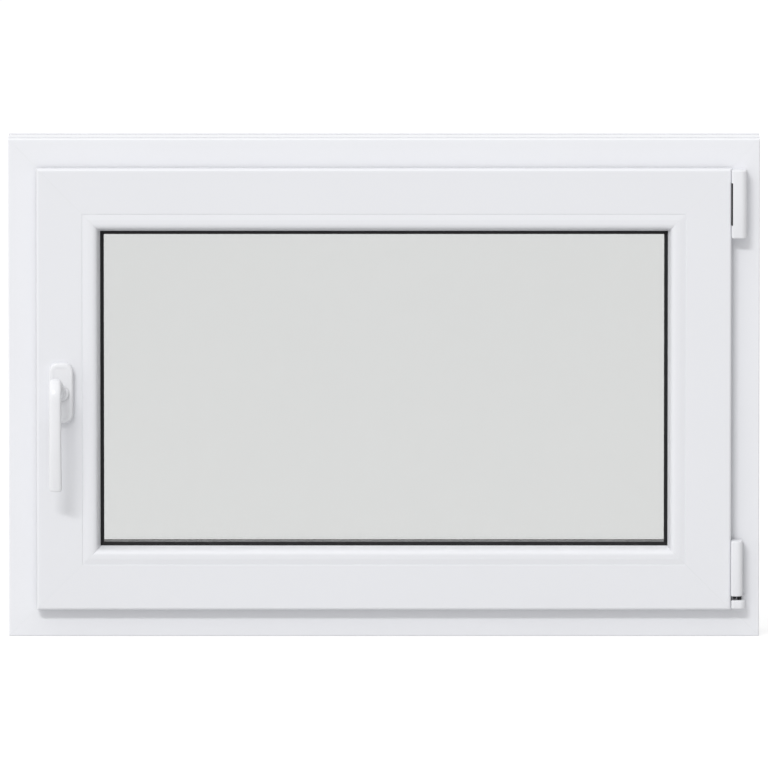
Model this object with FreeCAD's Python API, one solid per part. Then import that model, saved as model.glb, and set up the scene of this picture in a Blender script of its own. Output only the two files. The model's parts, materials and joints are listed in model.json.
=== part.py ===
import FreeCAD, Part
import math
import os

# A white plastic tilt and turn window, seen and measured from the room side.
# X runs to the right as seen from the room, Y runs from the room to the outside, Z runs up.
# The origin is the middle of the frame's bottom face. All sizes are in millimetres.
#
# Every bar of the window has one section, drawn in two coordinates:
#   u is the distance inward from the window's outer edge
#   t is the depth behind the frame's room face, negative where a piece stands out into the room

Vector = FreeCAD.Vector

# Overall size
window_width = 900.0
window_height = 600.0

# Frame section
frame_depth = 70.0
frame_leg = 42.0
stop_rise = 23.0
stop_thickness = 16.0
stop_slope = 4.0
stop_nose = 4.0
channel_drop = 5.0
channel_start = 21.0
channel_slope = 2.0
channel_end = 46.0
frame_edge_radius = 1.5
stop_edge_radius = 1.0

# Grooves along the frame's outer side that take the wall anchors
anchor_groove_inset = 17.0
anchor_groove_mouth = 8.0
anchor_groove_width = 12.0
anchor_groove_lip = 2.0
anchor_groove_depth = 5.0

# Drain slots through the sill's outer wall
drain_slot_length = 27.0
drain_slot_height = 5.0
drain_slot_depth = 8.0
drain_slot_rise = 14.0
drain_slot_spacing = 560.0

# Sash section
sash_offset = 18.0
sash_overlap = 8.0
sash_face_width = 54.5
sash_edge_radius = 3.0
sash_inner_radius = 0.6
overlap_gap = 3.0
stop_gap = 4.0
chamber_gap = 12.0
upstand_slope = 3.0
upstand_radius = 2.5

# Groove along the sash's rebate that takes the locking gear
gear_groove_start = 7.0
gear_plate_width = 16.0
gear_plate_depth = 3.0
gear_channel_width = 12.0
gear_channel_depth = 4.0

# Seals
seal_slot_width = 2.5
seal_slot_depth = 3.5
seal_head_width = 4.5
seal_head_radius = 0.9
sash_seal_inset = 3.2
stop_seal_inset = 1.0

# Glazing
pane_thickness = 4.0
cavity_width = 16.0
bedding_thickness = 3.0
glass_clearance = 6.0
bedding_width = 10.5
gasket_lip = 4.2
gasket_lip_edge = 0.8
spacer_height = 7.0
spacer_inset = 0.6

# Glazing bead
bead_depth = 15.0
bead_height = 21.5
bead_joint_depth = 0.6
bead_crest = 0.4
bead_crest_start = 7.0
bead_crest_end = 16.8
bead_crest_radius = 12.0
bead_nose_radius = 7.5
bead_foot_depth = 5.5
bead_foot_thickness = 3.6
bead_foot_start = 5.2
bead_heel_depth = 3.3
bead_heel_height = 4.0
bead_foot_clearance = 0.2

# Handle
handle_backset = 29.5
handle_height = 297.0
rosette_width = 29.0
rosette_height = 72.0
rosette_thickness = 11.0
rosette_corner_radius = 11.0
rosette_edge_bevel = 2.2
spindle_radius = 7.0
spindle_length = 8.0
spindle_clearance = 0.08
neck_clearance = 0.4
collar_radius = 9.2
collar_front_radius = 7.6
collar_length = 3.5
neck_length = 16.5
neck_climb = 35.0
neck_side_shift = 6.0
arch_radius = 15.0
lever_width = 14.6
lever_thickness = 12.4
lever_corner = 5.0
lever_drop = 114.0
grip_tip_bevel = 1.8
scoop_radius = 300.0
scoop_depth = 3.0
scoop_drop = 66.0

# Hinge covers beside the sash's right-hand edge
cover_depth = 22.0
cover_roundness = 0.43
cover_end_bevel = 2.5
top_cover_width = 18.0
top_cover_length = 82.0
top_cover_drop = 1.5
sash_cover_width = 14.0
sash_cover_length = 67.0
rest_cover_width = 16.0
rest_cover_length = 10.5
rest_cover_rise = 1.0
rest_cover_gap = 1.0
rest_shoulder_depth = 6.5
rest_shoulder_gap = 0.6
pivot_gap = 5.0

# Metal parts that show between the covers
stay_band_thickness = 1.6
stay_band_length = 51.0
stay_band_drop = 15.5
stay_band_setback = 4.0
stay_band_clearance = 0.2
pivot_inset = 23.6
pivot_setback = 12.0
pivot_radius = 2.4
pivot_seat = 8.0
screw_offset = 6.0
screw_radius = 1.8
screw_drop = 3.6
screw_seat = 10.0
metal_clearance = 0.1

# Caps over the drain slots
drain_cap_length = 36.0
drain_cap_height = 11.0
drain_cap_thickness = 3.0
drain_cap_corner = 2.0
drain_cap_bevel = 1.0
drain_plug_depth = 6.0
drain_plug_clearance = 0.2

# Lines that the pieces share, worked out from the sizes above
sash_edge = frame_leg - sash_overlap
sash_front = -sash_offset
overlap_back = -overlap_gap
rebate_line = frame_leg + chamber_gap
stop_top = frame_leg + stop_rise
stop_face = frame_depth - stop_thickness
sash_back = stop_face - stop_gap
bead_line = sash_edge + sash_face_width
bead_back = sash_front + bead_depth
bead_end = bead_line + bead_height
sight_line = bead_end + gasket_lip
glass_front = bead_back + bedding_thickness
glass_back = glass_front + 2 * pane_thickness + cavity_width
upstand_front = glass_back + bedding_thickness
glass_edge = bead_line + glass_clearance
sash_seal_start = sash_edge + sash_seal_inset
stop_seal_end = stop_top - stop_seal_inset
spacer_end = sight_line - spacer_inset

SIDES = ("bottom", "top", "left", "right")


def place(side, u, t):
    """Turns section coordinates into the start point of a bar on that side."""
    y = t - frame_depth / 2
    if side == "bottom":
        return Vector(-window_width / 2, y, u)
    if side == "top":
        return Vector(-window_width / 2, y, window_height - u)
    if side == "left":
        return Vector(-window_width / 2 + u, y, 0)
    return Vector(window_width / 2 - u, y, 0)


def rounded_wire(corners, to_point):
    """A closed outline of (a, b) or (a, b, radius) corners, with an arc at each corner that has a radius."""
    flat = [(c[0], c[1], c[2] if len(c) > 2 else 0.0) for c in corners]
    count = len(flat)
    edges = []
    starts = []
    ends = []
    for i, (a, b, radius) in enumerate(flat):
        here = Vector(a, b, 0)
        if radius == 0:
            starts.append(here)
            ends.append(here)
            continue
        before = (Vector(flat[i - 1][0], flat[i - 1][1], 0) - here).normalize()
        after = (Vector(flat[(i + 1) % count][0], flat[(i + 1) % count][1], 0) - here).normalize()
        half = before.getAngle(after) / 2
        reach = radius / math.tan(half)
        starts.append(here + before * reach)
        ends.append(here + after * reach)
        middle = here + (before + after).normalize() * (radius / math.sin(half) - radius)
        points = [to_point(p.x, p.y) for p in (starts[-1], middle, ends[-1])]
        edges.append(Part.Arc(*points).toShape())
    for i in range(count):
        first, second = ends[i], starts[(i + 1) % count]
        if first.distanceToPoint(second) > 1e-6:
            edges.append(Part.LineSegment(to_point(first.x, first.y), to_point(second.x, second.y)).toShape())
    return Part.Wire(Part.__sortEdges__(edges))


def mitre_wedge(side):
    """The share of the window that a bar on that side fills: its ends are cut at 45 degrees."""
    w, h = window_width / 2, window_height
    inner = min(w, h / 2)
    outlines = {
        "bottom": [(-w, 0), (w, 0), (w - inner, inner), (-w + inner, inner)],
        "top": [(-w, h), (w, h), (w - inner, h - inner), (-w + inner, h - inner)],
        "left": [(-w, 0), (-w + inner, inner), (-w + inner, h - inner), (-w, h)],
        "right": [(w, 0), (w - inner, inner), (w - inner, h - inner), (w, h)],
    }
    points = []
    for x, z in outlines[side]:
        point = Vector(x, -2 * frame_depth, z)
        if not points or point.distanceToPoint(points[-1]) > 1e-6:
            points.append(point)
    face = Part.Face(Part.makePolygon(points + [points[0]]))
    return face.extrude(Vector(0, 4 * frame_depth, 0))


def bar(side, section):
    """One mitred bar of the given section."""
    face = Part.Face(rounded_wire(section, lambda u, t: place(side, u, t)))
    run = Vector(window_width, 0, 0) if side in ("bottom", "top") else Vector(0, 0, window_height)
    return face.extrude(run).common(mitre_wedge(side))


def ring(section):
    """Four bars of the given section joined into one piece."""
    bars = [bar(side, section) for side in SIDES]
    return bars[0].fuse(bars[1:]).removeSplitter()


def anchor_groove(centre):
    """Corners of one T-shaped groove in the frame's outer side, from outside to room."""
    mouth, width = anchor_groove_mouth / 2, anchor_groove_width / 2
    lip, depth = anchor_groove_lip, anchor_groove_depth
    return [
        (0, centre + mouth), (lip, centre + mouth), (lip, centre + width), (depth, centre + width),
        (depth, centre - width), (lip, centre - width), (lip, centre - mouth), (0, centre - mouth),
    ]


def frame_section():
    channel = frame_leg - channel_drop
    slot = stop_seal_end - seal_head_width / 2 + seal_slot_width / 2
    return [
        (0, 0, frame_edge_radius),
        (frame_leg, 0, frame_edge_radius),
        (frame_leg, channel_start),
        (channel, channel_start + channel_slope),
        (channel, channel_end),
        (frame_leg, stop_face),
        (slot - seal_slot_width, stop_face),
        (slot - seal_slot_width, stop_face + seal_slot_depth),
        (slot, stop_face + seal_slot_depth),
        (slot, stop_face),
        (stop_top, stop_face, stop_edge_radius),
        (stop_top, stop_face + stop_nose),
        (stop_top - stop_slope, frame_depth, stop_edge_radius),
        (0, frame_depth, frame_edge_radius),
        *anchor_groove(frame_depth - anchor_groove_inset),
        *anchor_groove(anchor_groove_inset),
    ]


def sash_section():
    slot = sash_seal_start + seal_head_width / 2 + seal_slot_width / 2
    bead_slot = sash_front + bead_foot_start
    gear_plate = gear_groove_start + gear_plate_width
    gear_channel = (gear_plate_width - gear_channel_width) / 2
    plate_floor = rebate_line + gear_plate_depth
    channel_floor = plate_floor + gear_channel_depth
    upstand_top = bead_end + upstand_radius / 2
    return [
        (sash_edge, sash_front, sash_edge_radius),
        (bead_line, sash_front, sash_inner_radius),
        (bead_line, bead_slot),
        (bead_line - bead_foot_depth, bead_slot),
        (bead_line - bead_foot_depth, bead_slot + bead_foot_thickness + bead_foot_clearance),
        (bead_line, bead_slot + bead_foot_thickness + bead_foot_clearance),
        (bead_line, upstand_front),
        (upstand_top, upstand_front, upstand_radius / 2),
        (upstand_top - upstand_slope, sash_back, upstand_radius),
        (rebate_line, sash_back),
        (rebate_line, gear_plate),
        (plate_floor, gear_plate),
        (plate_floor, gear_plate - gear_channel),
        (channel_floor, gear_plate - gear_channel),
        (channel_floor, gear_groove_start + gear_channel),
        (plate_floor, gear_groove_start + gear_channel),
        (plate_floor, gear_groove_start),
        (rebate_line, gear_groove_start),
        (rebate_line, overlap_back),
        (slot, overlap_back),
        (slot, overlap_back - seal_slot_depth),
        (slot - seal_slot_width, overlap_back - seal_slot_depth),
        (slot - seal_slot_width, overlap_back),
        (sash_edge, overlap_back, sash_inner_radius),
    ]


def bead_section():
    foot = sash_front + bead_foot_start
    foot_end = foot + bead_foot_thickness
    heel = foot_end + bead_heel_depth
    return [
        (bead_line, sash_front + bead_joint_depth),
        (bead_line + bead_crest_start, sash_front - bead_crest, bead_crest_radius),
        (bead_line + bead_crest_end, sash_front - bead_crest, bead_nose_radius),
        (bead_end, bead_back),
        (bead_line + bead_heel_height, bead_back),
        (bead_line + bead_heel_height, heel),
        (bead_line, heel),
        (bead_line, foot_end),
        (bead_line - bead_foot_depth, foot_end),
        (bead_line - bead_foot_depth, foot),
        (bead_line, foot),
    ]


def bedding_section(glass, back):
    """The gasket between a pane and what holds it, with a lip that shows along the glass."""
    lip_edge = glass + math.copysign(gasket_lip_edge, back - glass)
    return [
        (bead_end - bedding_width, glass),
        (sight_line, glass),
        (sight_line, lip_edge),
        (bead_end, back),
        (bead_end - bedding_width, back),
    ]


def seal_section(start, slot_mouth, touch):
    """A seal with a foot in the slot and a head that is rounded where it touches."""
    inward = math.copysign(1, slot_mouth - touch)
    left = start + seal_head_width / 2 - seal_slot_width / 2
    right = left + seal_slot_width
    foot = slot_mouth + inward * seal_slot_depth
    return [
        (start, slot_mouth),
        (left, slot_mouth),
        (left, foot),
        (right, foot),
        (right, slot_mouth),
        (start + seal_head_width, slot_mouth),
        (start + seal_head_width, touch, seal_head_radius),
        (start, touch, seal_head_radius),
    ]


def slab(inset, front, thickness):
    """A flat plate whose edges lie inset from the window's outer edge."""
    corner = Vector(-window_width / 2 + inset, front - frame_depth / 2, inset)
    return Part.makeBox(window_width - 2 * inset, thickness, window_height - 2 * inset, corner)


def edges_at(shape, keep):
    """The edges whose every end passes the test."""
    return [e for e in shape.Edges if all(keep(v.Point) for v in e.Vertexes)]


def stadium(x, y, length, height):
    """A round-ended upright face in the sill's outer wall, at the height of the drain slots."""
    radius = height / 2
    half = length / 2 - radius
    z = drain_slot_rise
    low, high = z - radius, z + radius
    edges = [
        Part.LineSegment(Vector(x - half, y, low), Vector(x + half, y, low)),
        Part.Arc(Vector(x + half, y, low), Vector(x + half + radius, y, z), Vector(x + half, y, high)),
        Part.LineSegment(Vector(x + half, y, high), Vector(x - half, y, high)),
        Part.Arc(Vector(x - half, y, high), Vector(x - half - radius, y, z), Vector(x - half, y, low)),
    ]
    return Part.Face(Part.Wire([e.toShape() for e in edges]))


def drain_slot(x):
    """What the drain slot takes out of the sill's outer wall."""
    floor = frame_depth / 2 - drain_slot_depth
    return stadium(x, floor, drain_slot_length, drain_slot_height).extrude(Vector(0, drain_slot_depth, 0))


def drain_cap(x):
    """The cap that is pressed into a drain slot from outside."""
    wall = frame_depth / 2
    gap = 2 * drain_plug_clearance
    w, h, r = drain_cap_length / 2, drain_cap_height / 2, drain_cap_corner
    low, high = drain_slot_rise - h, drain_slot_rise + h
    wire = rounded_wire([(x - w, low, r), (x + w, low, r), (x + w, high, r), (x - w, high, r)],
                        lambda a, b: Vector(a, wall, b))
    plate = Part.Face(wire).extrude(Vector(0, drain_cap_thickness, 0))
    front = edges_at(plate, lambda p: p.y > wall + drain_cap_thickness / 2)
    plate = plate.makeChamfer(drain_cap_bevel, front)
    plug = stadium(x, wall - drain_plug_depth, drain_slot_length - gap, drain_slot_height - gap)
    return plate.fuse(plug.extrude(Vector(0, drain_plug_depth, 0))).removeSplitter()


def rosette(x):
    """The cover plate behind the handle, with the hole that the handle's spindle turns in."""
    w, h = rosette_width / 2, rosette_height / 2
    back = sash_front - frame_depth / 2
    front = back - rosette_thickness
    r = rosette_corner_radius
    corners = [(x - w, handle_height - h, r), (x + w, handle_height - h, r),
               (x + w, handle_height + h, r), (x - w, handle_height + h, r)]
    wire = rounded_wire(corners, lambda a, b: Vector(a, back, b))
    body = Part.Face(wire).extrude(Vector(0, -rosette_thickness, 0))
    body = body.makeChamfer(rosette_edge_bevel, edges_at(body, lambda p: abs(p.y - front) < 1e-6))
    hole = Part.makeCylinder(spindle_radius + spindle_clearance, spindle_length + neck_clearance,
                             Vector(x, front, handle_height), Vector(0, 1, 0))
    return body.cut(hole)


def lever(x):
    """The handle's lever: a swan neck that climbs out of its collar, arches over and runs down as the grip."""
    climb = math.radians(neck_climb)
    right, back, up = Vector(1, 0, 0), Vector(0, 1, 0), Vector(0, 0, 1)
    root = Vector(x, sash_front - frame_depth / 2 - rosette_thickness - neck_clearance, handle_height)
    collar = Part.makeCone(collar_radius, collar_front_radius, collar_length, root, -back)

    def outline(centre, through):
        w, d, r = lever_width / 2, lever_thickness / 2, lever_corner
        corners = [(-w, -d, r), (w, -d, r), (w, d, r), (-w, d, r)]
        return Part.Face(rounded_wire(corners, lambda a, b: centre + right * a + through * b))

    neck_run = (up * math.sin(climb) - back * math.cos(climb)) * neck_length - right * neck_side_shift
    to_centre = -back * math.sin(climb) - up * math.cos(climb)
    arch_centre = root + neck_run + to_centre * arch_radius
    section = outline(root + neck_run, to_centre)
    arch = section.revolve(arch_centre, right, 90 + neck_climb)
    behind = Part.makeBox(4 * collar_radius, 2 * collar_radius, 4 * collar_radius,
                          root - (right + up) * (2 * collar_radius))
    neck = section.extrude(neck_run * -(1 + lever_thickness / neck_length)).cut(behind)

    top = arch_centre - back * arch_radius
    bottom = handle_height - lever_drop
    grip = outline(top, back).extrude(up * (bottom - top.z))
    grip = grip.makeChamfer(grip_tip_bevel, edges_at(grip, lambda p: abs(p.z - bottom) < 1e-6))
    scoop_axis = top + back * (lever_thickness / 2 - scoop_depth + scoop_radius) - up * scoop_drop
    scoop = Part.makeCylinder(scoop_radius, 2 * lever_width, scoop_axis - right * lever_width, right)

    spindle = Part.makeCylinder(spindle_radius, spindle_length + neck_clearance, root, back)
    return collar.fuse([neck, arch, grip.cut(scoop), spindle]).removeSplitter()


def hinge_cover(left, width, bottom, length, back):
    """A cap over a hinge: flat at the back and round at the front, with bevelled ends."""
    right = left + width
    wall = back - frame_depth / 2
    radius = cover_roundness * width
    corners = [(left, back), (right, back), (right, -cover_depth, radius), (left, -cover_depth, radius)]
    wire = rounded_wire(corners, lambda a, b: Vector(a, b - frame_depth / 2, bottom))
    body = Part.Face(wire).extrude(Vector(0, 0, length))
    ends = [e for e in body.Edges
            if abs(e.Vertexes[0].Point.z - e.Vertexes[-1].Point.z) < 1e-6
            and e.CenterOfMass.y < wall - 1e-3]
    return body.makeChamfer(cover_end_bevel, ends)


def round_bar(x, setback, radius, bottom, top):
    """An upright round bar behind the covers' front."""
    return Part.makeCylinder(radius, top - bottom, Vector(x, setback - cover_depth - frame_depth / 2, bottom))


def hinges():
    """The covers on the hinge side, with the pin, the screw and the band that show between them."""
    edge_x = window_width / 2 - sash_edge
    pivot_x = window_width / 2 - pivot_inset
    screw_x = pivot_x - screw_offset
    top_end = window_height - sash_edge - top_cover_drop
    rest_bottom = sash_edge + rest_cover_rise
    rest_top = rest_bottom + rest_cover_length
    cover_bottom = rest_top + pivot_gap

    band_top = top_end - stay_band_drop
    band_front = stay_band_setback - cover_depth - frame_depth / 2
    band_back = -frame_depth / 2 - stay_band_clearance
    band = Part.makeBox(stay_band_thickness - stay_band_clearance, band_back - band_front, stay_band_length,
                        Vector(edge_x, band_front, band_top - stay_band_length))
    notch = Part.makeBox(stay_band_thickness, 2 * cover_depth, stay_band_length + 2 * stay_band_clearance,
                         Vector(edge_x, -2 * cover_depth - frame_depth / 2 + stay_band_clearance,
                                band_top - stay_band_length - stay_band_clearance))
    top_cover = hinge_cover(edge_x, top_cover_width, top_end - top_cover_length, top_cover_length, 0)

    sash_cover = hinge_cover(edge_x, sash_cover_width, cover_bottom, sash_cover_length, overlap_back)
    rest_left = edge_x + rest_cover_gap
    rest_cover = hinge_cover(rest_left, rest_cover_width, rest_bottom, rest_cover_length, 0)
    shoulder = Part.makeBox(rest_cover_width, rest_shoulder_depth, cover_bottom - rest_shoulder_gap - rest_bottom,
                            Vector(rest_left, -rest_shoulder_depth - frame_depth / 2, rest_bottom))
    bore = round_bar(pivot_x, pivot_setback, pivot_radius + metal_clearance,
                     rest_top - pivot_seat, cover_bottom + pivot_seat)
    screw_bore = round_bar(screw_x, pivot_setback, screw_radius + metal_clearance,
                           cover_bottom, cover_bottom + screw_seat)
    return {
        "top_hinge_cover": top_cover.cut(notch),
        "stay_band": band,
        "sash_hinge_cover": sash_cover.cut(bore).cut(screw_bore),
        "pivot_rest_cover": rest_cover.fuse(shoulder).removeSplitter().cut(bore),
        "pivot_pin": round_bar(pivot_x, pivot_setback, pivot_radius,
                               rest_top - pivot_seat, cover_bottom + pivot_seat),
        "height_screw": round_bar(screw_x, pivot_setback, screw_radius,
                                  cover_bottom - screw_drop, cover_bottom + screw_seat),
    }


def build():
    pieces = {}
    names = {"bottom": "sill", "top": "head", "left": "left_jamb", "right": "right_jamb"}
    for side in SIDES:
        pieces["frame_" + names[side]] = bar(side, frame_section())
    for name, x in (("left", -drain_slot_spacing / 2), ("right", drain_slot_spacing / 2)):
        pieces["frame_sill"] = pieces["frame_sill"].cut(drain_slot(x))
        pieces["drain_cap_" + name] = drain_cap(x)

    rails = {"bottom": "bottom_rail", "top": "top_rail", "left": "lock_stile", "right": "hinge_stile"}
    for side in SIDES:
        pieces["sash_" + rails[side]] = bar(side, sash_section())
        pieces["bead_" + side] = bar(side, bead_section())
    pieces["overlap_seal"] = ring(seal_section(sash_seal_start, overlap_back, 0))
    pieces["stop_seal"] = ring(seal_section(stop_seal_end - seal_head_width, stop_face, sash_back))

    spacer_front = glass_front + pane_thickness
    spacer_back = glass_back - pane_thickness
    pieces["inner_pane"] = slab(glass_edge, glass_front, pane_thickness)
    pieces["outer_pane"] = slab(glass_edge, spacer_back, pane_thickness)
    pieces["glass_spacer"] = ring([
        (spacer_end - spacer_height, spacer_front),
        (spacer_end, spacer_front),
        (spacer_end, spacer_back),
        (spacer_end - spacer_height, spacer_back),
    ])
    pieces["inner_glazing_gasket"] = ring(bedding_section(glass_front, bead_back))
    pieces["outer_glazing_gasket"] = ring(bedding_section(glass_back, upstand_front))

    handle_x = -window_width / 2 + sash_edge + handle_backset
    pieces["handle_rosette"] = rosette(handle_x)
    pieces["handle_lever"] = lever(handle_x)
    pieces.update(hinges())
    return pieces


def main():
    os.makedirs("parts", exist_ok=True)
    for name, shape in build().items():
        shape.exportStep("parts/" + name + ".step")
        print(name, shape.isValid(), len(shape.Solids), round(shape.Volume / 1000, 1))


main()
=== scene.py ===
import json
import math

import bmesh
import bpy
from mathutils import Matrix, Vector


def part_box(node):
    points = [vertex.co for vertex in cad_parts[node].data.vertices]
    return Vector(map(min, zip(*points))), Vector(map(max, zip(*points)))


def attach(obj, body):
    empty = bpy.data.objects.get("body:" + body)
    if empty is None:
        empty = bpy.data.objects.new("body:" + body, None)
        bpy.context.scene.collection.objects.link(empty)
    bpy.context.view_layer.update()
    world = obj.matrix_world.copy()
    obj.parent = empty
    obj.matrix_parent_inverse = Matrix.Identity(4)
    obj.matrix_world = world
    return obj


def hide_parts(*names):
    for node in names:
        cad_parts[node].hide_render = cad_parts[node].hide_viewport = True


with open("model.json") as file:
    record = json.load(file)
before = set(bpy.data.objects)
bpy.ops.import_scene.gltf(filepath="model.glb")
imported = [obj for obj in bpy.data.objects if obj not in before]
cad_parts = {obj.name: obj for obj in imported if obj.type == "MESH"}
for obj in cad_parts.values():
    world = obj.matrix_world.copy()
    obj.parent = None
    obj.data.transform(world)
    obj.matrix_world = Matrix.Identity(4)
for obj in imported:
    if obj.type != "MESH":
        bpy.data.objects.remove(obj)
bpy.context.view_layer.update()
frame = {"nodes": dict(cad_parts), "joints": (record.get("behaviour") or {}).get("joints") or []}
nodes = frame["nodes"]
scene = bpy.context.scene
print("frame loaded:", len(nodes), "nodes")


def clearSelection():
    if bpy.context.object and bpy.context.object.mode != "OBJECT":
        bpy.ops.object.mode_set(mode="OBJECT")
    bpy.ops.object.select_all(action="DESELECT")


def selectOnly(piece):
    clearSelection()
    bpy.context.view_layer.objects.active = piece
    piece.select_set(True)


def near(a, b, slack=0.00005):
    return abs(a - b) < slack


def bothAt(a, b, axis, place):
    # both ends of an edge lie at this place along x, y or z
    return near(getattr(a, axis), place) and near(getattr(b, axis), place)


def runsBack(a, b, least=0.001):
    # the edge runs from the front to the back of its block
    return abs(a.y - b.y) > least


def pick(kind, wanted):
    # in edit mode: selects only what passes the test, which is given
    # an edge's two ends or a face's middle and normal
    bpy.ops.mesh.select_all(action="DESELECT")
    bpy.ops.mesh.select_mode(type={"faces": "FACE", "edges": "EDGE"}[kind])
    mesh = bmesh.from_edit_mesh(bpy.context.object.data)
    mesh.normal_update()
    for part in getattr(mesh, kind):
        if kind == "edges":
            chosen = wanted(part.verts[0].co, part.verts[1].co)
        else:
            chosen = wanted(part.calc_center_median(), part.normal)
        part.select_set(bool(chosen))
    bmesh.update_edit_mesh(bpy.context.object.data)


def roundEdges(wanted, radius, segments):
    pick("edges", wanted)
    bpy.ops.mesh.bevel(offset=radius, segments=segments, affect="EDGES")


def block(name, low, high):
    # a cube from its lowest to its highest corner, left in edit mode
    clearSelection()
    middle = [(a + b) / 2 for a, b in zip(low, high)]
    bpy.ops.mesh.primitive_cube_add(size=1, location=middle)
    piece = bpy.context.object
    piece.name = name
    piece.scale = [b - a for a, b in zip(low, high)]
    bpy.ops.object.transform_apply(location=True, rotation=False, scale=True)
    bpy.ops.object.mode_set(mode="EDIT")
    return piece


def joinTo(piece):
    # the shape that was just made becomes a part of this piece
    bpy.ops.object.mode_set(mode="OBJECT")
    piece.select_set(True)
    bpy.context.view_layer.objects.active = piece
    bpy.ops.object.join()


def cutAway(piece, cutter):
    selectOnly(piece)
    cut = piece.modifiers.new("cut", "BOOLEAN")
    cut.operation = "DIFFERENCE"
    cut.object = cutter
    bpy.ops.object.modifier_apply(modifier="cut")
    bpy.data.objects.remove(cutter)


def settle(piece, finish, body, node, smoothAngle=35):
    # merges doubles, turns the faces outwards, smooths, and puts the piece on its body in place of the node
    if bpy.context.object.mode != "EDIT":
        bpy.ops.object.mode_set(mode="EDIT")
    bpy.ops.mesh.select_all(action="SELECT")
    bpy.ops.mesh.remove_doubles(threshold=0.000002)
    bpy.ops.mesh.normals_make_consistent(inside=False)
    bpy.ops.object.mode_set(mode="OBJECT")
    bpy.ops.object.shade_smooth_by_angle(angle=math.radians(smoothAngle))
    piece.data.materials.clear()
    piece.data.materials.append(finish)
    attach(piece, body)
    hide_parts(node)
    print("made", piece.name)


def newMaterial(name):
    mat = bpy.data.materials.new(name)
    mat.use_nodes = True
    tree = mat.node_tree
    tree.nodes.clear()
    return mat, tree


def put(tree, kind, settings=None, **values):
    # adds a node; settings are its own fields, and values its sockets, by name or as i0, i1 and so on:
    # each gets a number, a colour or another node's socket
    node = tree.nodes.new(kind)
    for key, value in (settings or {}).items():
        setattr(node, key, value)
    for key, value in values.items():
        socket = node.inputs[int(key[1:])] if key[1:].isdigit() else node.inputs[key.replace("_", " ")]
        if isinstance(value, bpy.types.NodeSocket):
            tree.links.new(value, socket)
        else:
            socket.default_value = value
    return node


def maths(tree, operation, a, b=0.0, c=0.0):
    return put(tree, "ShaderNodeMath", {"operation": operation}, i0=a, i1=b, i2=c).outputs[0]


def noise(tree, place, scale, detail, roughness=0.5):
    return put(tree, "ShaderNodeTexNoise", Vector=place, Scale=scale, Detail=detail,
               Roughness=roughness).outputs["Fac"]


def shaded(colour, factor=1.0, lift=0.0):
    # a colour made lighter or darker, with full alpha
    return [min(1, c * factor + lift) for c in colour] + [1]


def mixed(tree, amount, first, second):
    return put(tree, "ShaderNodeMix", {"data_type": "RGBA"}, Factor=amount, i6=first, i7=second).outputs[2]


def unevenGloss(tree, pattern, roughness, swing):
    # the roughness goes down and up by the swing as the noise goes from its dark to its light parts
    return put(tree, "ShaderNodeMapRange", Value=pattern, From_Min=0.3, From_Max=0.7,
               To_Min=roughness - swing[0], To_Max=roughness + swing[1]).outputs[0]


def bump(tree, height, strength, depth, under=None):
    # under is the normal of a coarser bump that this one lies on
    node = put(tree, "ShaderNodeBump", Strength=strength, Distance=depth, Height=height)
    if under is not None:
        tree.links.new(under, node.inputs["Normal"])
    return node.outputs[0]


# white plastic of the frame, the sash and the beads
plastic = {
    "colour": (0.769, 0.776, 0.806),
    "colourWorn": (0.752, 0.758, 0.785),
    # the frame's copy of the plastic is made lighter than the sash's: painted light, standing in for the
    # brighter light on the frame
    "framePaintedLight": 1.045,
    "cloudScale": 7.0,
    "roughness": 0.34,
    "roughnessSwing": (0.04, 0.05),
    # drawing marks: how close they lie along and across the bar, and their relief
    "marksAlong": 1.5,
    "marksAcross": 700.0,
    "marksRoughness": 0.6,
    "marksStrength": 0.05,
    "marksDepth": 0.0002,
    "grainScale": 1400.0,
    "grainStrength": 0.06,
    "grainDepth": 0.0001,
    "weldWidth": 0.0007,
    "weldStrength": 0.5,
    "weldDepth": 0.0003,
    # the frame's outer size, for the place of its corners
    "halfWidth": 0.45,
    "halfHeight": 0.3,
}


def extrudedPlastic(name, alongX, paintedLight=1.0):
    p = plastic
    mat, tree = newMaterial(name)
    place = put(tree, "ShaderNodeTexCoord").outputs["Object"]
    # drawing marks run along the bar, so the pattern is stretched that way
    along, across = p["marksAlong"], p["marksAcross"]
    stretch = (along, across, across) if alongX else (across, across, along)
    marks = put(tree, "ShaderNodeMapping", Vector=place, Scale=stretch).outputs[0]
    streaks = noise(tree, marks, scale=1.0, detail=2.0, roughness=p["marksRoughness"])
    cloud = noise(tree, place, scale=p["cloudScale"], detail=3.0)
    grain = noise(tree, place, scale=p["grainScale"], detail=1.0)
    # the weld runs on the 45 degree plane through each corner
    axes = put(tree, "ShaderNodeSeparateXYZ", Vector=place)
    fromSide = maths(tree, "SUBTRACT", p["halfWidth"], maths(tree, "ABSOLUTE", axes.outputs["X"]))
    upDown = maths(tree, "ABSOLUTE", maths(tree, "SUBTRACT", axes.outputs["Z"], p["halfHeight"]))
    fromEnd = maths(tree, "SUBTRACT", p["halfHeight"], upDown)
    offWeld = maths(tree, "ABSOLUTE", maths(tree, "SUBTRACT", fromSide, fromEnd))
    weld = put(tree, "ShaderNodeMapRange", {"interpolation_type": "SMOOTHSTEP"},
               Value=offWeld, From_Min=0.0, From_Max=p["weldWidth"], To_Min=0.0, To_Max=1.0).outputs[0]
    # paintedLight lifts the whole colour as painted light; the frame gets it, and the sash keeps 1
    colour = mixed(tree, cloud, shaded(p["colour"], paintedLight), shaded(p["colourWorn"], paintedLight))
    gloss = unevenGloss(tree, streaks, p["roughness"], p["roughnessSwing"])
    groove = bump(tree, weld, p["weldStrength"], p["weldDepth"])
    lines = bump(tree, streaks, p["marksStrength"], p["marksDepth"], groove)
    skin = bump(tree, grain, p["grainStrength"], p["grainDepth"], lines)
    body = put(tree, "ShaderNodeBsdfPrincipled", Base_Color=colour, Roughness=gloss, Normal=skin, IOR=1.5)
    put(tree, "ShaderNodeOutputMaterial", Surface=body.outputs[0])
    return mat


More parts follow.
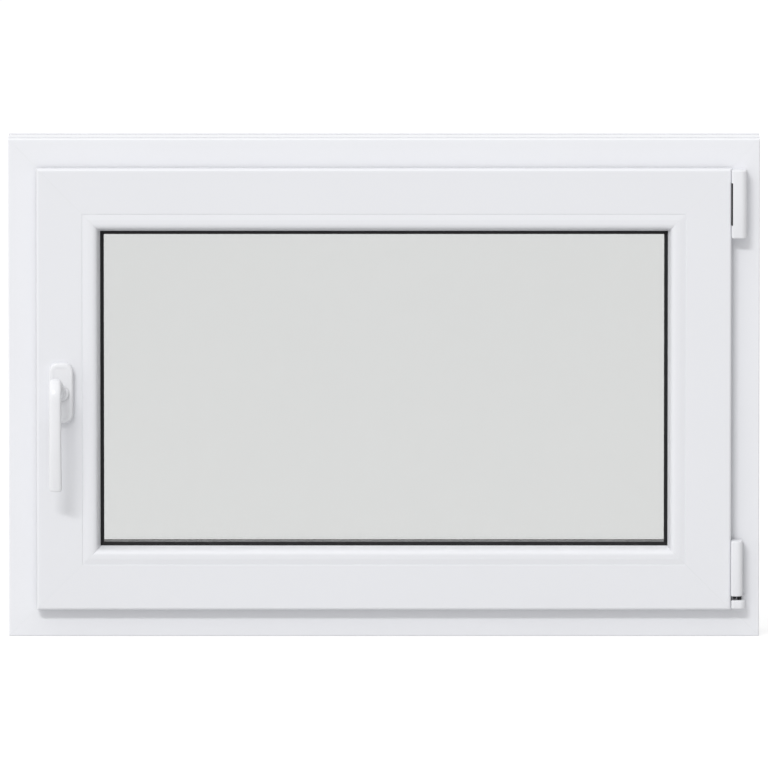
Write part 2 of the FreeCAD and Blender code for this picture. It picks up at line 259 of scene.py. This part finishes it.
# moulded plastic of the hinge covers and drain caps, and the coating of the handle
moulded = {
    "coverColour": (0.780, 0.786, 0.812),
    "coverRoughness": 0.38,
    "handleColour": (0.785, 0.790, 0.812),
    "handleRoughness": 0.30,
    "roughnessSwing": (0.04, 0.06),
    "cloudScale": 40.0,
    "cloudShade": 0.97,
    "grainScale": 1800.0,
    "grainStrength": 0.08,
    "grainDepth": 0.0001,
}


def mouldedPlastic(name, colour, roughness):
    p = moulded
    mat, tree = newMaterial(name)
    place = put(tree, "ShaderNodeTexCoord").outputs["Object"]
    grain = noise(tree, place, scale=p["grainScale"], detail=2.0)
    cloud = noise(tree, place, scale=p["cloudScale"], detail=2.0)
    shade = mixed(tree, cloud, shaded(colour), shaded(colour, p["cloudShade"]))
    gloss = unevenGloss(tree, grain, roughness, p["roughnessSwing"])
    skin = bump(tree, grain, p["grainStrength"], p["grainDepth"])
    body = put(tree, "ShaderNodeBsdfPrincipled", Base_Color=shade, Roughness=gloss, Normal=skin, IOR=1.5)
    put(tree, "ShaderNodeOutputMaterial", Surface=body.outputs[0])
    return mat


# black rubber of the seals and glazing gaskets
blackRubber = {
    "sealColour": (0.012, 0.012, 0.013),
    "gasketColour": (0.010, 0.010, 0.011),
    "dustScale": 60.0,
    "dustShade": 1.7,
    "dustLift": 0.004,
    "grainScale": 900.0,
    "grainStrength": 0.3,
    "grainDepth": 0.0001,
    "roughness": 0.62,
    "shine": 0.15,
}


def rubber(name, colour):
    p = blackRubber
    mat, tree = newMaterial(name)
    place = put(tree, "ShaderNodeTexCoord").outputs["Object"]
    grain = noise(tree, place, scale=p["grainScale"], detail=3.0)
    dust = noise(tree, place, scale=p["dustScale"], detail=4.0)
    shade = mixed(tree, dust, shaded(colour), shaded(colour, p["dustShade"], p["dustLift"]))
    skin = bump(tree, grain, p["grainStrength"], p["grainDepth"])
    body = put(tree, "ShaderNodeBsdfPrincipled", Base_Color=shade, Roughness=p["roughness"], Normal=skin,
               IOR=1.45, Specular_IOR_Level=p["shine"])
    put(tree, "ShaderNodeOutputMaterial", Surface=body.outputs[0])
    return mat


# float glass of the two panes
paneGlass = {
    "colour": (0.803, 0.808, 0.805),
    "patchScale": 3.0,
    "patchShade": 0.985,
}


def clearGlass(name):
    p = paneGlass
    mat, tree = newMaterial(name)
    place = put(tree, "ShaderNodeTexCoord").outputs["Object"]
    # the panes are a little darker in broad, random patches
    patches = noise(tree, place, scale=p["patchScale"], detail=2.0)
    shade = mixed(tree, patches, shaded(p["colour"]), shaded(p["colour"], p["patchShade"]))
    body = put(tree, "ShaderNodeBsdfPrincipled", Base_Color=shade, Roughness=0.0, IOR=1.5,
               Transmission_Weight=1.0)
    # lamplight passes straight through to what lies behind the panes
    through = put(tree, "ShaderNodeBsdfTransparent", Color=shaded(p["colour"]))
    shadowRay = put(tree, "ShaderNodeLightPath").outputs["Is Shadow Ray"]
    both = put(tree, "ShaderNodeMixShader", i0=shadowRay, i1=body.outputs[0], i2=through.outputs[0])
    put(tree, "ShaderNodeOutputMaterial", Surface=both.outputs[0])
    return mat


# matt spacer between the panes, and dark coated steel of the stay band, the pin and the screw
metal = {
    "spacerColour": (0.20, 0.20, 0.21),
    "spacerRoughness": 0.5,
    "spacerMetallic": 0.6,
    "hingeColour": (0.035, 0.035, 0.038),
    "hingeRoughness": 0.42,
    "hingeMetallic": 1.0,
    "roughnessSwing": (0.07, 0.09),
    "grainScale": 700.0,
    "grainShade": 0.8,
    "grainStrength": 0.15,
    "grainDepth": 0.0001,
}


def metalFinish(name, colour, roughness, metallic):
    p = metal
    mat, tree = newMaterial(name)
    place = put(tree, "ShaderNodeTexCoord").outputs["Object"]
    grain = noise(tree, place, scale=p["grainScale"], detail=3.0)
    shade = mixed(tree, grain, shaded(colour), shaded(colour, p["grainShade"]))
    gloss = unevenGloss(tree, grain, roughness, p["roughnessSwing"])
    skin = bump(tree, grain, p["grainStrength"], p["grainDepth"])
    body = put(tree, "ShaderNodeBsdfPrincipled", Base_Color=shade, Roughness=gloss, Normal=skin,
               Metallic=metallic)
    put(tree, "ShaderNodeOutputMaterial", Surface=body.outputs[0])
    return mat


# the frame's plastic is painted lighter than the sash's, as painted light
frameAcross = extrudedPlastic("framePlasticAcross", True, plastic["framePaintedLight"])
frameUpright = extrudedPlastic("framePlasticUpright", False, plastic["framePaintedLight"])
sashAcross = extrudedPlastic("sashPlasticAcross", True)
sashUpright = extrudedPlastic("sashPlasticUpright", False)
coverFinish = mouldedPlastic("whiteCoverPlastic", moulded["coverColour"], moulded["coverRoughness"])
handleFinish = mouldedPlastic("whiteHandleCoating", moulded["handleColour"], moulded["handleRoughness"])
sealFinish = rubber("blackSealRubber", blackRubber["sealColour"])
gasketFinish = rubber("blackGasketRubber", blackRubber["gasketColour"])
glassFinish = clearGlass("clearPane")
spacerFinish = metalFinish("greySpacer", metal["spacerColour"], metal["spacerRoughness"],
                           metal["spacerMetallic"])
darkMetal = metalFinish("darkHingeMetal", metal["hingeColour"], metal["hingeRoughness"],
                        metal["hingeMetallic"])

finishes = {
    "frame_sill": frameAcross, "frame_head": frameAcross,
    "frame_left_jamb": frameUpright, "frame_right_jamb": frameUpright,
    "sash_bottom_rail": sashAcross, "sash_top_rail": sashAcross,
    "sash_lock_stile": sashUpright, "sash_hinge_stile": sashUpright,
    "bead_bottom": sashAcross, "bead_top": sashAcross,
    "bead_left": sashUpright, "bead_right": sashUpright,
    "drain_cap_left": coverFinish, "drain_cap_right": coverFinish,
    "overlap_seal": sealFinish, "stop_seal": sealFinish,
    "inner_glazing_gasket": gasketFinish, "outer_glazing_gasket": gasketFinish,
    "inner_pane": glassFinish, "outer_pane": glassFinish,
    "glass_spacer": spacerFinish,
    "handle_rosette": handleFinish, "handle_lever": handleFinish,
    "top_hinge_cover": coverFinish, "sash_hinge_cover": coverFinish, "pivot_rest_cover": coverFinish,
    "stay_band": darkMetal, "pivot_pin": darkMetal, "height_screw": darkMetal,
}
for name, finish in finishes.items():
    nodes[name].data.materials[0] = finish
print("finishes assigned:", len(finishes))


# the handle's cover plate on the sash
coverPlate = {
    "cornerRadius": 0.0108,
    "rimRadius": 0.0036,
    # the front field is made of the faces that look forwards, to this cosine, and lie this near the front
    "fieldFacing": 0.99,
    "fieldSlack": 0.0002,
    "stepIn": 0.0026,
    "stepWidth": 0.0006,
    "stepDrop": 0.00012,
}


def makeCoverPlate():
    p = coverPlate
    low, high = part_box("handle_rosette")
    plate = block("coverPlate", low, high)
    roundEdges(runsBack, p["cornerRadius"], segments=10)
    roundEdges(lambda a, b: bothAt(a, b, "y", low.y), p["rimRadius"], segments=6)
    # a shallow step sets the front field off from the rounded rim
    pick("faces", lambda middle, normal:
         normal.y < -p["fieldFacing"] and near(middle.y, low.y, p["fieldSlack"]))
    bpy.ops.mesh.inset(thickness=p["stepIn"], depth=0)
    bpy.ops.mesh.inset(thickness=p["stepWidth"], depth=-p["stepDrop"])
    settle(plate, handleFinish, "window", "handle_rosette", smoothAngle=50)


# the handle's lever
lever = {
    "sideShift": -0.0065,
    "shiftRate": 2.2,
    "width": 0.0150,
    "thickness": 0.0128,
    "corner": 0.0042,
    # the bar's path: (out from the cover plate, up from the spindle, dive in degrees)
    "arch": [
        (0.0030, 0.0014, -22),
        (0.0068, 0.0044, -38),
        (0.0105, 0.0078, -42),
        (0.0142, 0.0109, -35),
        (0.0180, 0.0131, -18),
        (0.0221, 0.0139, 0),
        (0.0272, 0.0128, 22),
        (0.0315, 0.0100, 43),
        (0.0347, 0.0060, 62),
        (0.0366, 0.0004, 81),
    ],
    # below the arch: (up from the spindle, bow towards the window, dive in degrees, width, thickness)
    "grip": [
        (-0.0100, 0.0004, 88, 0.0149, 0.0124),
        (-0.0260, 0.0000, 89, 0.0147, 0.0116),
        (-0.0440, 0.0000, 91, 0.0145, 0.0106),
        (-0.0620, 0.0007, 94, 0.0145, 0.0099),
        (-0.0800, 0.0022, 97, 0.0147, 0.0096),
        (-0.0960, 0.0044, 100, 0.0151, 0.0098),
        (-0.1085, 0.0067, 102, 0.0154, 0.0101),
        (-0.1125, 0.0075, 102, 0.0154, 0.0100),
    ],
    "gripOut": 0.0371,
    "end": -0.1138,
    "endBack": 0.0002,
    "endNarrowing": (0.86, 0.80, 1),
    "endInset": 0.0018,
    "collarRadius": 0.0094,
    "collarLength": 0.0042,
    "collarRim": 0.0016,
}


def drawOut(here, there, turn=0.0):
    # draws the picked face out to the next place, and turns it there by so many degrees
    bpy.ops.mesh.extrude_region_move(
        TRANSFORM_OT_translate={"value": tuple(there - here), "orient_type": "GLOBAL"})
    bpy.ops.transform.rotate(value=math.radians(turn), orient_axis="X", center_override=there)


def makeLever():
    p = lever
    pin = Vector(frame["joints"][0]["pos_m"])
    clearSelection()
    # the bar starts as a flat outline at the cover plate and is drawn out along its path
    bpy.ops.mesh.primitive_plane_add(size=1, location=pin, rotation=(math.radians(90), 0, 0))
    bar = bpy.context.object
    bar.name = "leverBar"
    bar.scale = (p["width"], p["thickness"], 1)
    bpy.ops.object.transform_apply(location=True, rotation=True, scale=True)
    bpy.ops.object.mode_set(mode="EDIT")
    bpy.ops.mesh.select_all(action="SELECT")
    bpy.ops.mesh.bevel(offset=p["corner"], segments=2, affect="VERTICES")
    bpy.ops.mesh.select_all(action="SELECT")
    bpy.ops.mesh.select_mode(type="FACE")
    here, dive = pin.copy(), 0.0
    for out, up, newDive in p["arch"]:
        # the bar swings to its side early on its way out
        shift = p["sideShift"] * min(1, out / p["gripOut"] * p["shiftRate"])
        there = pin + Vector((shift, -out, up))
        drawOut(here, there, dive - newDive)
        here, dive = there, newDive
    width, thickness = p["width"], p["thickness"]
    thickest = p["grip"][0][4]
    for up, bow, newDive, newWidth, newThickness in p["grip"]:
        # the front bows gently, and the back is hollowed for the fingers
        out = p["gripOut"] - bow + (thickest - newThickness) / 2
        there = pin + Vector((p["sideShift"], -out, up))
        drawOut(here, there, dive - newDive)
        bpy.ops.transform.resize(value=(newWidth / width, newThickness / thickness, 1),
                                 center_override=there)
        here, dive, width, thickness = there, newDive, newWidth, newThickness
    # the end is drawn in a little, so that it comes out round
    there = Vector((here.x, here.y + p["endBack"], pin.z + p["end"]))
    drawOut(here, there)
    bpy.ops.transform.resize(value=p["endNarrowing"], center_override=there)
    bpy.ops.mesh.inset(thickness=p["endInset"], depth=0)
    bpy.ops.object.mode_set(mode="OBJECT")
    smooth = bar.modifiers.new("rounding", "SUBSURF")
    smooth.levels = smooth.render_levels = 3
    bpy.ops.object.modifier_apply(modifier="rounding")

    # the collar that the bar leaves from
    clearSelection()
    bpy.ops.mesh.primitive_cylinder_add(vertices=64, radius=p["collarRadius"], depth=p["collarLength"],
                                        location=pin + Vector((0, -p["collarLength"] / 2, 0)),
                                        rotation=(math.radians(90), 0, 0))
    bpy.ops.object.transform_apply(location=True, rotation=True, scale=True)
    bpy.ops.object.mode_set(mode="EDIT")
    roundEdges(lambda a, b: bothAt(a, b, "y", pin.y - p["collarLength"]), p["collarRim"], segments=5)
    joinTo(bar)
    settle(bar, handleFinish, "handle", "handle_lever", smoothAngle=50)


# rounded covers over the hinges
hingeCovers = {
    "sashSideRadius": 0.0026,
    "frameSideRadius": 0.0068,
    "endRadius": 0.0018,
    # the slit beside the stay band: open to the sash and to the front, with a little play elsewhere
    "slitPastSash": 0.002,
    "slitPastFront": 0.02,
    "slitPlay": 0.0002,
    "restTop": 0.0455,
    "restFrontDrop": 0.0035,
    "restLeftGain": 0.0007,
    "shoulderDepth": 0.0074,
    "shoulderIn": 0.0003,
    "shoulderRadius": 0.0006,
}


def makeHingeCover(name, low, high):
    p = hingeCovers
    cover = block(name, low, high)
    # nearly square on the sash's side, well rounded on the frame's side
    for side, radius in ((low.x, p["sashSideRadius"]), (high.x, p["frameSideRadius"])):
        roundEdges(lambda a, b: bothAt(a, b, "y", low.y) and bothAt(a, b, "x", side), radius, segments=10)
    for end in (low.z, high.z):
        roundEdges(lambda a, b: bothAt(a, b, "z", end) and not bothAt(a, b, "y", high.y),
                   p["endRadius"], segments=5)
    bpy.ops.object.mode_set(mode="OBJECT")
    return cover


def makeHingeCovers():
    p = hingeCovers
    top = makeHingeCover("topHingeCover", *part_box("top_hinge_cover"))
    # the slit beside the sash where the dark stay band shows
    low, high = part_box("stay_band")
    play = p["slitPlay"]
    slit = block("slitCutter", low - Vector((p["slitPastSash"], p["slitPastFront"], play)),
                 high + Vector((play, play, play)))
    bpy.ops.object.mode_set(mode="OBJECT")
    cutAway(top, slit)
    settle(top, coverFinish, "window", "top_hinge_cover")
    sash = makeHingeCover("sashHingeCover", *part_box("sash_hinge_cover"))
    settle(sash, coverFinish, "window", "sash_hinge_cover")
    # the rest's cover is round in front of the pin, and a flat shoulder stands up behind it
    low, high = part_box("pivot_rest_cover")
    low = low + Vector((-p["restLeftGain"], p["restFrontDrop"], 0))
    rest = makeHingeCover("pivotRestCover", low, Vector((high.x, high.y, p["restTop"])))
    front = high.y - p["shoulderDepth"]
    block("pivotRestShoulder", Vector((low.x + p["shoulderIn"], front, low.z + p["shoulderIn"])),
          Vector((high.x - p["shoulderIn"], high.y, high.z)))
    roundEdges(lambda a, b: bothAt(a, b, "z", high.z) or bothAt(a, b, "y", front),
               p["shoulderRadius"], segments=3)
    joinTo(rest)
    settle(rest, coverFinish, "window", "pivot_rest_cover")


# caps over the drain slots, each with a sunken field in its face
drainCap = {
    "cornerRadius": 0.002,
    "rimRadius": 0.0009,
    "fieldIn": 0.0026,
    "fieldDepth": 0.0012,
    "fieldRadius": 0.0011,
    "cutterProud": 0.001,
}


def makeDrainCaps():
    p = drainCap
    low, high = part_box("drain_cap_left")
    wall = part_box("frame_sill")[1].y
    cap = block("drainCapLeft", Vector((low.x, wall, low.z)), high)
    roundEdges(runsBack, p["cornerRadius"], segments=6)
    roundEdges(lambda a, b: bothAt(a, b, "y", high.y), p["rimRadius"], segments=4)
    bpy.ops.object.mode_set(mode="OBJECT")
    inwards = Vector((p["fieldIn"], 0, p["fieldIn"]))
    field = block("fieldCutter", Vector((low.x, high.y - p["fieldDepth"], low.z)) + inwards,
                  high - inwards + Vector((0, p["cutterProud"], 0)))
    roundEdges(runsBack, p["fieldRadius"], segments=5)
    bpy.ops.object.mode_set(mode="OBJECT")
    cutAway(cap, field)
    twin = cap.copy()
    twin.data = cap.data.copy()
    twin.name = "drainCapRight"
    scene.collection.objects.link(twin)
    settle(cap, coverFinish, "window", "drain_cap_left")
    selectOnly(twin)
    bpy.ops.object.mode_set(mode="EDIT")
    bpy.ops.mesh.select_all(action="SELECT")
    bpy.ops.transform.translate(value=(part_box("drain_cap_right")[0].x - low.x, 0, 0))
    settle(twin, coverFinish, "window", "drain_cap_right")


makeCoverPlate()
makeLever()
makeHingeCovers()
makeDrainCaps()


# floor and surroundings; a strength of 1 is white
stage = {
    "floorSize": 40.0,
    "floorColour": (0.30, 0.30, 0.30),
    "floorGlow": 0.74,
    "floorBounce": 0.40,
    "surroundings": 1.0,
    "worldColour": (1, 1, 1),
    "worldLight": 0.42,
    "fromLeft": 0.95,
    "fromAbove": 1.80,
    "fromFront": 0.20,
    "frontMiddle": 0.5,
    "least": 0.10,
}


def whereSeen(tree):
    # 1 where it is seen, straight, through glass or as a reflection, and 0 where it only gives light
    ray = put(tree, "ShaderNodeLightPath")
    seen = maths(tree, "MAXIMUM", ray.outputs["Is Camera Ray"], ray.outputs["Is Transmission Ray"])
    return maths(tree, "MAXIMUM", seen, ray.outputs["Is Glossy Ray"])


def makeFloor():
    p = stage
    clearSelection()
    bpy.ops.mesh.primitive_plane_add(size=p["floorSize"], location=(0, 0, 0))
    floor = bpy.context.object
    floor.name = "floor"
    mat, tree = newMaterial("paleFloor")
    glow = put(tree, "ShaderNodeMapRange", Value=whereSeen(tree), To_Min=p["floorBounce"],
               To_Max=p["floorGlow"]).outputs[0]
    matt = put(tree, "ShaderNodeBsdfDiffuse", Color=shaded(p["floorColour"]))
    white = put(tree, "ShaderNodeEmission", Strength=glow)
    both = put(tree, "ShaderNodeAddShader", i0=matt.outputs[0], i1=white.outputs[0])
    put(tree, "ShaderNodeOutputMaterial", Surface=both.outputs[0])
    floor.data.materials.append(mat)


def makeWorld():
    p = stage
    world = bpy.data.worlds.new("paleRoom")
    scene.world = world
    world.use_nodes = True
    tree = world.node_tree
    tree.nodes.clear()
    seen = whereSeen(tree)
    # the room is brighter from above and from the left, and a little from the front and the back
    way = put(tree, "ShaderNodeSeparateXYZ", Vector=put(tree, "ShaderNodeTexCoord").outputs["Generated"])
    level = maths(tree, "MULTIPLY_ADD", way.outputs["X"], -p["fromLeft"], 1.0)
    level = maths(tree, "MULTIPLY_ADD", way.outputs["Z"], p["fromAbove"], level)
    ahead = maths(tree, "SUBTRACT", maths(tree, "ABSOLUTE", way.outputs["Y"]), p["frontMiddle"])
    level = maths(tree, "MULTIPLY_ADD", ahead, p["fromFront"], level)
    level = maths(tree, "MULTIPLY", maths(tree, "MAXIMUM", level, p["least"]), p["worldLight"])
    colour = shaded(p["worldColour"])
    lit = put(tree, "ShaderNodeBackground", Color=colour, Strength=level)
    shown = put(tree, "ShaderNodeBackground", Color=colour, Strength=p["surroundings"])
    both = put(tree, "ShaderNodeMixShader", i0=seen, i1=lit.outputs[0], i2=shown.outputs[0])
    put(tree, "ShaderNodeOutputWorld", Surface=both.outputs[0])


# one broad lamp, high up on the left in front of the window
lamp = {
    "place": (-5.6, -15.2, 12.0),
    "aim": (0.0, 0.0, 0.3),
    "width": 6.8,
    "height": 1.4,
    "power": 1520.0,
}


def makeLamp():
    p = lamp
    data = bpy.data.lights.new("softbox", "AREA")
    data.shape = "RECTANGLE"
    data.size = p["width"]
    data.size_y = p["height"]
    data.energy = p["power"]
    box = bpy.data.objects.new("softbox", data)
    scene.collection.objects.link(box)
    box.location = p["place"]
    box.rotation_euler = (Vector(p["aim"]) - Vector(p["place"])).to_track_quat("-Z", "Y").to_euler()


# the camera: its distance from the target, its height in degrees and the width that it sees there
view = {
    "distance": 24.0,
    "elevation": 7.0,
    "target": (0.0, -0.035, 0.3048),
    "width": 0.9205,
    "sensor": 36.0,
    "reach": 200.0,
}


def makeCamera():
    p = view
    data = bpy.data.cameras.new("camera")
    data.sensor_width = p["sensor"]
    data.lens = p["sensor"] * p["distance"] / p["width"]
    data.clip_end = p["reach"]
    camera = bpy.data.objects.new("camera", data)
    scene.collection.objects.link(camera)
    tilt = math.radians(p["elevation"])
    back = Vector((0, -math.cos(tilt), math.sin(tilt)))
    camera.location = Vector(p["target"]) + back * p["distance"]
    camera.rotation_euler = (-back).to_track_quat("-Z", "Y").to_euler()
    scene.camera = camera


makeFloor()
makeWorld()
makeLamp()
makeCamera()
scene.view_settings.view_transform = "Standard"
print("stage ready")
